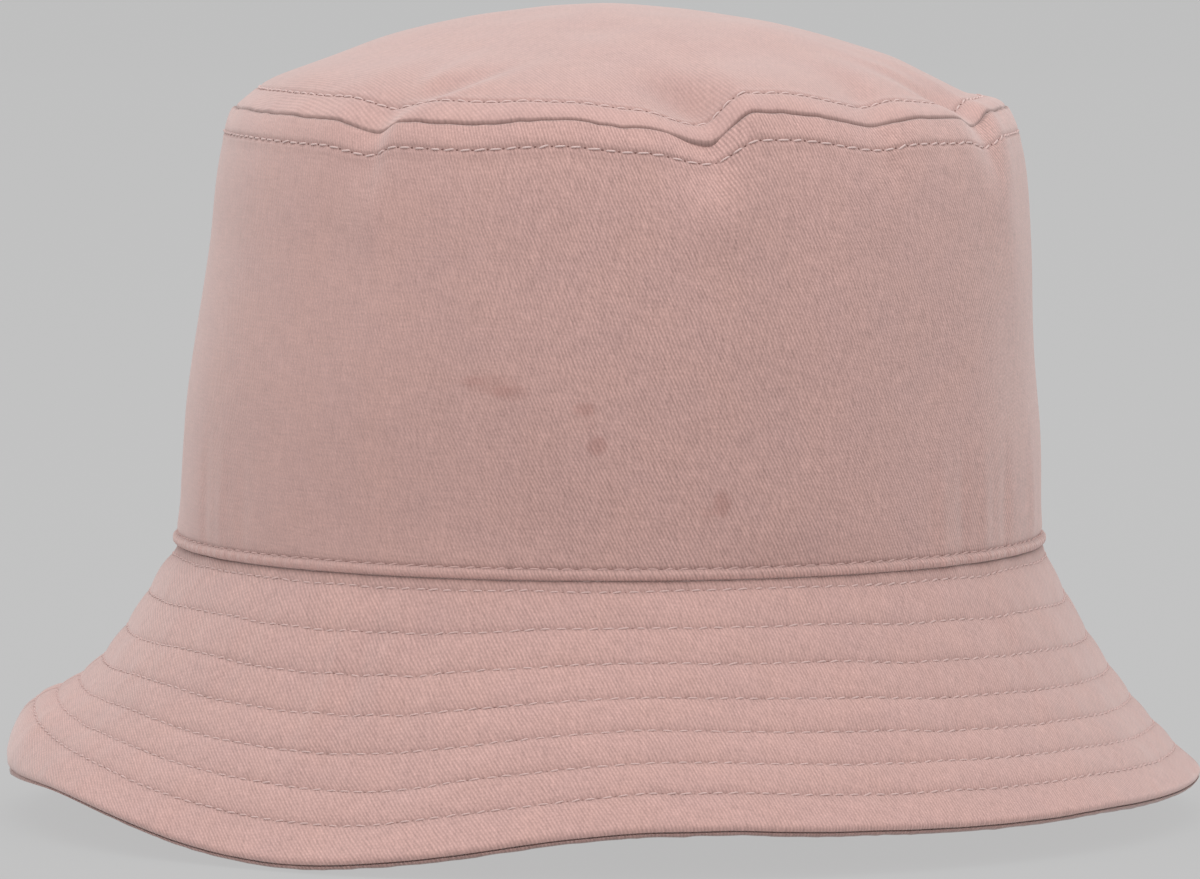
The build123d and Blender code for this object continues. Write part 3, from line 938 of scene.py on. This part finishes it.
brim_places = packed(130, brim_rows + [0.0, brim_length], 1.4 * mm, brim_length)
under_places = packed(96, brim_rows + [brim_length], 1.4 * mm, brim_length) * 1.006
core_places = np.linspace(0.025, 0.975, 30)
cut = {"flat": (0.353, 0.123), "area": 0.0211, "held": "laid"}
for place, angles, centre in (("front", front, 270.0), ("back", back, 90.0)):
    angle, out = grid(angles, brim_places, 300)
    piece = slab(f"upper_{place}", brim_cloth(angle, out), brim_bend(angle, out, upper_inner), [washed_brim],
                 cone_map(angle, out, centre), brim_marks(angle, out))
    sew_in(piece, "twill", [f"brim_upper_{place}"], **cut)
    angle, out = grid(angles, under_places, 240)
    back_depth = under_top - 0.75 * mm * (1.0 - round_edge((1.006 - out) * brim_length / (2.0 * mm)))
    piece = slab(f"under_{place}", under_cloth(angle, out), brim_bend(angle, out, back_depth), [shaded_under_brim],
                 cone_map(angle, out, centre), brim_marks(angle, out, 1.0))
    sew_in(piece, "under_twill", [f"brim_under_{place}"], **cut)
    angle, out = grid(angles, core_places, 120)
    piece = slab(f"core_{place}", brim_bend(angle, out, core_top), brim_bend(angle, out, core_bottom),
                 [nonwoven], cone_map(angle, out, centre))
    sew_in(piece, "interlining", [f"brim_interlining_{place}"], **cut)

# ---- inside: the sweatband, its filling, the tapes and the labels ----
band_top = (band_high.z - base_z) / crown_height
band_bottom = (band_low.z - base_z) / crown_height


def band_face(angle, up):
    """The sweatband's inner face: it follows the side, rolls over at its folded top edge,
    and dips at its two stitch rows and where its ends meet at the centre back."""
    height = (up - band_bottom) * crown_height
    to_top = (band_top - up) * crown_height
    rolled = 0.55 * mm * (1.0 - round_edge(to_top / (0.9 * mm)))
    valleys = 0.30 * mm * (hump(height - band_row, 0.8 * mm) + hump(to_top - band_row, 0.8 * mm))
    join = 0.5 * mm * hump(np.radians(turned(angle, 90.0)) * half_depth, 0.7 * mm)
    square = square_to(side_face, angle, up)
    return side_bend(angle, up, band_inner) + square * (rolled + valleys + join)[..., None]


def ring(alongs, columns=360):
    """The angles once round the hat, with every place along."""
    return np.meshgrid(90.0 + np.arange(columns) * 360.0 / columns, alongs, indexing="ij")


band_height = band_high.z - band_low.z
band_places = packed(44, [band_row, band_height - band_row, band_height], 1.5 * mm, band_height)
angle, up = ring(band_places * (band_top - band_bottom) + band_bottom)
piece = slab("band_cloth", band_face(angle, up), side_bend(angle, up, band_outer), [band_twill],
             arc_map(angle, up), closed=True)
sew_in(piece, "band_twill", ["sweatband"], (0.584, 0.031))
inset = 1.5 * mm / crown_height
angle, up = ring(np.linspace(band_bottom + inset, band_top - inset, 16), 240)
piece = slab("band_filling", side_bend(angle, up, filling_inner), side_bend(angle, up, filling_outer),
             [nonwoven], arc_map(angle, up), closed=True)
sew_in(piece, "interlining", ["sweatband_interlining"], (0.588, 0.029))

tape_top = (tape_high.z - base_z) / crown_height
tape_bottom = (tape_low.z - base_z) / crown_height
angle, up = ring(np.linspace(tape_bottom, tape_top, 14))
piece = slab("tip_tape", side_bend(angle, up, tape_inner), side_bend(angle, up, tape_outer), [tape],
             arc_map(angle, up), closed=True)
sew_in(piece, "seam_tape", ["tip_seam_tape"], (0.540, 0.010), area=0.0049)
for place, centre in (("right", 0.0), ("left", 180.0)):
    spread = np.degrees(5 * mm / half_depth)
    start, end = band_top + 1.0 * mm / crown_height, tape_bottom - 0.8 * mm / crown_height
    angle, up = grid((centre - spread, centre + spread), np.linspace(start, end, 60), 15)
    piece = slab(f"side_tape_{place}", side_bend(angle, up, tape_inner), side_bend(angle, up, tape_outer),
                 [tape], arc_map(angle, up))
    sew_in(piece, "seam_tape", [f"side_seam_tape_{place}"], (0.010, 0.047))

label_spread = np.degrees(22 * mm / half_width)
label_middle = (main_low.z + main_high.z) / 2 - base_z
label_span = ((label_middle - 9 * mm) / crown_height, (label_middle + 9 * mm) / crown_height)


def label_face(angle, up):
    """The main label's face: flat on the band, drawn down a little all round by its stitches."""
    beside = (label_spread - np.abs(turned(angle, 90.0))) * np.radians(half_width)
    above = np.minimum(up - label_span[0], label_span[1] - up) * crown_height
    full = 0.25 * mm * round_edge(np.minimum(beside, above) / (1.6 * mm))
    square = square_to(side_face, angle, up)
    return side_bend(angle, up, band_inner + 0.25 * mm) - square * full[..., None]


angle, up = grid((90.0 - label_spread, 90.0 + label_spread), np.linspace(*label_span, 24), 50)
piece = slab("blank_label", label_face(angle, up), side_bend(angle, up, band_inner + 0.02 * mm), [label],
             arc_map(angle, up))
sew_in(piece, "label_satin", ["main_label"], (0.044, 0.018), held="laid")

across, fall = np.meshgrid(np.linspace(-12 * mm, 12 * mm, 40), np.linspace(0.0, 1.0, 40), indexing="ij")
hang = (label_low.x + label_high.x) / 2 + 0.10 * mm * np.sin(pi * fall) * np.cos(across / (9 * mm))
hem = 0.16 * mm * ease((fall - 0.88) / 0.02)
down = label_high.z - fall * (label_high.z - label_low.z)
faces = [np.stack([hang + side * (0.13 * mm + hem), across, down], axis=-1) for side in (1.0, -1.0)]
piece = slab("care_tag", faces[0], faces[1], [label], np.stack([across, down], axis=-1) / mm)
sew_in(piece, "label_satin", ["care_label"], (0.024, 0.028), held="hung", body="care_label")

# ---- topstitching ----
def sew_row(name, surface, along, size, seed, nodes=(), pitch=stitch_pitch, **how):
    """One row of stitches, joined to the hat and standing for its line of thread."""
    materials = how.pop("materials", sewing)
    row = stitch_row(name, surface, along / size, size, pitch, materials, seed, **how)
    return sew_in(row, "thread", nodes)


sew_row("tip_row_upper", tip_cloth, tip_half_width - tip_row / 1.05, tip_half_width, 21, ["tip_stitch_upper"],
        pitch=crown_pitch)
sew_row("tip_row_lower", side_cloth, crown_height - tip_row, crown_height, 22, ["tip_stitch_lower"],
        pitch=crown_pitch)
sew_row("base_row", side_cloth, base_row, crown_height, 23, ["base_stitch"], materials=[shaded_thread, hole],
        hole_size=1.9, pitch=crown_pitch)
for i, distance in enumerate(brim_rows):
    sew_row(f"brim_row_{i + 1}", brim_cloth, distance, brim_length, 30 + i, [f"brim_stitch_{i + 1}"],
            wander=sway, materials=[brim_thread, hole], hole_size=1.2)
    sew_row(f"under_row_{i + 1}", under_cloth, distance, brim_length, 40 + i, inward=True, wander=sway)
for i, height in enumerate((band_row, band_height - band_row)):
    sew_row(f"band_row_{i + 1}", band_face, band_low.z - base_z + height, crown_height, 50 + i, inward=True)
for i, up in enumerate((label_span[0] + 1.0 * mm / crown_height, label_span[1] - 1.0 * mm / crown_height)):
    sew_row(f"label_row_{i + 1}", label_face, up, 1.0, 54 + i, pitch=2.2 * mm, inward=True,
            spread=(90.6 - label_spread, 89.4 + label_spread))


# ================ floor, light and camera ================

def studio_floor():
    """A pale floor that curves up into a wall behind the hat: flat, then a quarter circle."""
    across = np.linspace(-9.0, 9.0, 40)
    turn = np.linspace(0.0, pi / 2, 40)
    bend = 2.5
    run = np.concatenate([np.linspace(-7.0, 4.0, 40), 4.0 + bend * np.sin(turn[1:]), np.full(20, 4.0 + bend)])
    rise = np.concatenate([np.zeros(40), bend * (1.0 - np.cos(turn[1:])), bend + np.linspace(0.1, 5.0, 20)])
    x = np.broadcast_to(across[:, None], (40, len(run)))
    points = np.stack([x, np.broadcast_to(run, x.shape), np.broadcast_to(rise - 0.0002, x.shape)], axis=-1)
    make = Finish("floor paper", specular=0.05)
    back = make.part(make.space(), "Y").above(-1.0, 3.5)
    tone = make.blend(back, (0.05, 0.05, 0.05, 1.0), (0.045, 0.045, 0.045, 1.0))
    make.shader.inputs["Emission Strength"].default_value = 1.0
    make.shader.inputs["Emission Color"].default_value = (0.48, 0.48, 0.48, 1.0)
    paper = make.finish(tone, 0.95)
    return make_piece("floor", points, sheet_faces(40, len(run)), [paper])


studio_floor()


def soft_light(name, place, target, size, power):
    """A square soft light that looks at a target."""
    lamp = bpy.data.lights.new(name, "AREA")
    lamp.size = size
    lamp.energy = power
    light = bpy.data.objects.new(name, lamp)
    light.location = place
    away = np.array(place) - np.array(target)
    turn = np.arctan2(away[0], -away[1])
    light.rotation_euler = (np.arccos(away[2] / np.linalg.norm(away)), 0.0, turn)
    bpy.context.scene.collection.objects.link(light)


soft_light("overhead", (-0.1, -0.5, 3.2), (0.0, 0.0, 0.1), 3.0, 42.0)
soft_light("front", (0.2, -3.6, 1.7), (0.0, 0.0, 0.08), 2.6, 15.0)

world = bpy.data.worlds.new("studio")
bpy.context.scene.world = world
world.use_nodes = True
world.node_tree.nodes["Background"].inputs["Color"].default_value = (1.0, 1.0, 1.0, 1.0)
world.node_tree.nodes["Background"].inputs["Strength"].default_value = 0.82

bpy.context.scene.view_settings.view_transform = "Standard"
bpy.context.scene.view_settings.look = "None"

lens = bpy.data.cameras.new("camera")
lens.sensor_width = 36.0
lens.lens = 314.16
camera = bpy.data.objects.new("camera", lens)
camera.location = (0.0, -2.2, 0.2391)
camera.rotation_euler = (radians(90.0 - 4.18), 0.0, 0.0)
bpy.context.scene.collection.objects.link(camera)
bpy.context.scene.camera = camera

bpy.context.view_layer.update()
